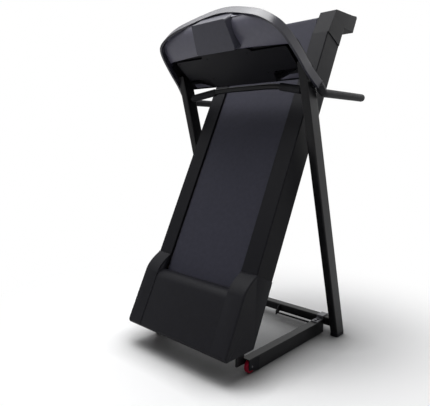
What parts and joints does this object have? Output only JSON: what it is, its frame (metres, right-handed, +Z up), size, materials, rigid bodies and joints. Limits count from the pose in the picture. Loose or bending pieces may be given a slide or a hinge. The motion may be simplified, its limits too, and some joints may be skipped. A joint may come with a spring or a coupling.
{
  "type": "treadmill",
  "caption": "Folding treadmill stored upright: hinged running deck with belt and motor hood, leaning uprights, floor frame, arched console, side grips and transport wheels.",
  "frame": {"origin": "on the floor, under the middle of the folded machine's bounding box", "axes": "+Z up; the hood side (front) faces -Y; +X is the viewer's right"},
  "size_m": [0.76, 0.9321, 1.462],
  "materials": {
    "frame_steel": "fine satin black powder coat",
    "plain_steel": "zinc plated",
    "black_plastic": "fine-grained moulded plastic",
    "rim_plastic": "satin grey moulded plastic",
    "belt_rubber": "woven-textured running belt",
    "soft_rubber": "matt rubber",
    "grip_foam": "soft matt grip",
    "wheel_red": "red moulded wheel",
    "board_wood": "dark laminated board",
    "motor_metal": "black enamelled motor can",
    "heat_sink": "extruded aluminium",
    "roller_steel": "turned steel",
    "lens": "dark glossy window",
    "key_red": "red glossy plastic",
    "button_grey": "grey soft-touch plastic",
    "circuit_board": "green coated board"
  },
  "bodies": {
    "base": {"base_rail_left": "frame_steel", "base_rail_right": "frame_steel", "rear_crossbar": "frame_steel", "upright_left": "frame_steel", "upright_right": "frame_steel", "hinge_brackets": "frame_steel", "brace_rod": "frame_steel", "cross_bar": "frame_steel", "handlebars": "frame_steel", "console_beam": "frame_steel", "joint_plates": "plain_steel", "joint_bolts": "plain_steel", "hinge_pins": "plain_steel", "wheel_axles": "plain_steel", "lower_cover": "black_plastic", "display_housing": "black_plastic", "console_back": "black_plastic", "user_panel": "black_plastic", "upright_feet": "black_plastic", "console_rim": "rim_plastic", "rail_pads": "soft_rubber", "grip_left": "grip_foam", "grip_right": "grip_foam", "bar_sleeves": "grip_foam", "display_lens": "lens", "keypad_board": "circuit_board"},
    "deck": {"deck_tube_left": "frame_steel", "deck_tube_right": "frame_steel", "hinge_bushes": "soft_rubber", "deck_cross_members": "frame_steel", "board_cushions": "soft_rubber", "running_board": "board_wood", "running_belt": "belt_rubber", "roller_shafts": "plain_steel", "foot_rail_left": "black_plastic", "foot_rail_right": "black_plastic", "end_cap_left": "black_plastic", "end_cap_right": "black_plastic", "tension_bolts": "plain_steel", "hood_centre": "black_plastic", "hood_cheek_left": "black_plastic", "hood_cheek_right": "black_plastic", "power_inlet": "black_plastic", "motor_bed": "frame_steel", "motor": "motor_metal", "drive_belt": "soft_rubber", "controller": "heat_sink", "belly_pan": "black_plastic"},
    "front_roller": {"front_roller": "roller_steel", "roller_pulley": "roller_steel"},
    "rear_roller": {"rear_roller": "roller_steel"},
    "motor_rotor": {"motor_rotor": "roller_steel"},
    "wheel_left": {"transport_wheel_left": "wheel_red"},
    "wheel_right": {"transport_wheel_right": "wheel_red"},
    "stop_button": {"stop_button": "key_red"},
    "start_button": {"start_button": "button_grey"},
    "speed_up_button": {"speed_up_button": "button_grey"},
    "speed_down_button": {"speed_down_button": "button_grey"},
    "safety_key": {"safety_key": "key_red"},
    "power_switch": {"power_switch": "black_plastic"}
  },
  "joints": [
    {"name": "deck_fold", "type": "hinge", "parent": "base", "child": "deck", "pos_m": [0, -0.3387, 0.13], "axis": [-1, 0, 0], "range_deg": [0, 63.5]},
    {"name": "front_roller_spin", "type": "hinge", "parent": "deck", "child": "front_roller", "pos_m": [0, -0.29656, 0.2766], "axis": [1, 0, 0], "continuous": true},
    {"name": "rear_roller_spin", "type": "hinge", "parent": "deck", "child": "rear_roller", "pos_m": [0, 0.27056, 1.41406], "axis": [1, 0, 0], "continuous": true},
    {"name": "motor_spin", "type": "hinge", "parent": "deck", "child": "motor_rotor", "pos_m": [0, -0.34144, 0.1783], "axis": [1, 0, 0], "continuous": true},
    {"name": "wheel_left_spin", "type": "hinge", "parent": "base", "child": "wheel_left", "pos_m": [-0.26, -0.302, 0.0278], "axis": [1, 0, 0], "continuous": true},
    {"name": "wheel_right_spin", "type": "hinge", "parent": "base", "child": "wheel_right", "pos_m": [0.26, -0.302, 0.0278], "axis": [1, 0, 0], "continuous": true},
    {"name": "safety_key_pull", "type": "slide", "parent": "base", "child": "safety_key", "axis": [0, 0.7071, 0.7071], "range_m": [0, 0.03]},
    {"name": "power_switch_rock", "type": "hinge", "parent": "deck", "child": "power_switch", "pos_m": [0.05, -0.425, 0.0947], "axis": [1, 0, 0], "range_deg": [-12, 0]},
    {"name": "stop_button_press", "type": "slide", "parent": "base", "child": "stop_button", "axis": [0, -0.7071, -0.7071], "range_m": [0, 0.0015], "stiffness_N_per_m": 600},
    {"name": "start_button_press", "type": "slide", "parent": "base", "child": "start_button", "axis": [0, -0.7071, -0.7071], "range_m": [0, 0.0015], "stiffness_N_per_m": 600},
    {"name": "speed_up_button_press", "type": "slide", "parent": "base", "child": "speed_up_button", "axis": [0, -0.7071, -0.7071], "range_m": [0, 0.0015], "stiffness_N_per_m": 600},
    {"name": "speed_down_button_press", "type": "slide", "parent": "base", "child": "speed_down_button", "axis": [0, -0.7071, -0.7071], "range_m": [0, 0.0015], "stiffness_N_per_m": 600}
  ],
  "couplings": [
    {"joint": "rear_roller_spin", "follows": "front_roller_spin", "ratio": 1},
    {"joint": "motor_spin", "follows": "front_roller_spin", "ratio": 1.9333}
  ]
}
